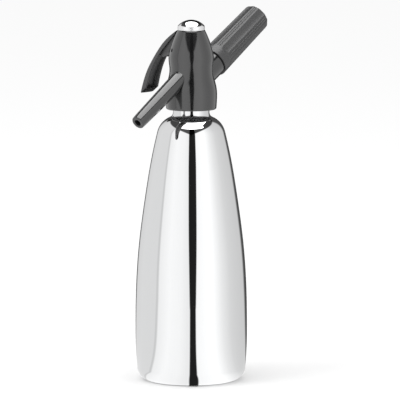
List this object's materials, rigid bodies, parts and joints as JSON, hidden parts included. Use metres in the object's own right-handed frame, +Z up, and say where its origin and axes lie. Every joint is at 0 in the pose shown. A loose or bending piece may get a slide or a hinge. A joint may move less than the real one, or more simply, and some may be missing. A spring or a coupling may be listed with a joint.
{
  "type": "soda siphon",
  "caption": "Soda siphon: tall polished bottle, moulded head with curved lever, slanted spout, ribbed gas charger holder and chrome dome cap.",
  "frame": {"origin": "centre of the bottle's flat bottom, on the surface it stands on", "axes": "+Z up the bottle's axis; -Y is the side of the spout, +Y the side of the charger holder, -X the side of the lever"},
  "size_m": [0.1013, 0.1708, 0.3253],
  "materials": {
    "polished_aluminium": "mirror polished",
    "silicone_seal": "matte silicone",
    "white_tube_plastic": "natural, slightly glossy",
    "charcoal_gloss": "glossy moulded",
    "charcoal_spout": "glossy moulded",
    "charcoal_lever": "semi-gloss moulded",
    "charcoal_satin": "satin with fine grain",
    "chrome_cap": "mirror plated",
    "nickel_brass": "nickel plated",
    "bright_steel": "bright",
    "dark_steel": "blackened",
    "charger_steel": "zinc plated",
    "black_seal": "matte rubber"
  },
  "bodies": {
    "bottle": {"bottle": "polished_aluminium"},
    "tube_set": {"neck_gasket": "silicone_seal", "measuring_tube": "white_tube_plastic", "tube_carrier": "white_tube_plastic", "siphon_tube": "white_tube_plastic"},
    "head": {"head_cover": "charcoal_gloss", "valve_core": "nickel_brass", "thread_collar": "charcoal_satin", "collar_screws": "bright_steel", "valve_seat": "nickel_brass", "stem_guide": "nickel_brass", "stem_seal": "black_seal", "siphon_seal": "black_seal", "spout": "charcoal_spout", "spout_seal": "black_seal", "dome_cap": "chrome_cap", "stem_spring": "bright_steel", "lever_pin": "dark_steel", "piercer_body": "nickel_brass", "piercing_pin": "bright_steel", "charger_seal": "black_seal", "rim_seal": "black_seal", "check_ball": "bright_steel"},
    "lever": {"lever": "charcoal_lever"},
    "stem": {"valve_stem": "bright_steel", "valve_washer": "black_seal", "lift_nut": "nickel_brass"},
    "charger": {"co2_charger": "charger_steel"},
    "holder": {"charger_holder": "charcoal_satin", "holder_liner": "nickel_brass", "end_pad": "black_seal"}
  },
  "joints": [
    {"name": "tube_rise", "type": "slide", "parent": "bottle", "child": "tube_set", "axis": [0, 0, 1], "range_m": [0, 0.0075]},
    {"name": "head_turn", "type": "hinge", "parent": "tube_set", "child": "head", "pos_m": [0, 0, 0.25], "axis": [0, 0, 1], "range_deg": [0, 900.5]},
    {"name": "lever_press", "type": "hinge", "parent": "head", "child": "lever", "pos_m": [-0.008, 0, 0.2922], "axis": [0, -1, 0], "range_deg": [0, 15.1], "stiffness_Nm_per_rad": 0.4, "springref_deg": -20.05},
    {"name": "stem_lift", "type": "slide", "parent": "head", "child": "stem", "axis": [0, 0, 1], "range_m": [0, 0.0021], "deforming": ["stem_spring"]},
    {"name": "charger_rise", "type": "slide", "parent": "head", "child": "charger", "axis": [0, 0.8572, 0.515], "range_m": [0, 0.01]},
    {"name": "holder_turn", "type": "hinge", "parent": "charger", "child": "holder", "pos_m": [0, 0.06, 0.29705], "axis": [0, 0.8572, 0.515], "range_deg": [0, 1801]}
  ],
  "couplings": [
    {"joint": "head_turn", "follows": "tube_rise", "rad_per_m": 2094.4},
    {"joint": "lever_press", "follows": "stem_lift", "rad_per_m": 125},
    {"joint": "holder_turn", "follows": "charger_rise", "rad_per_m": 3141.6}
  ]
}
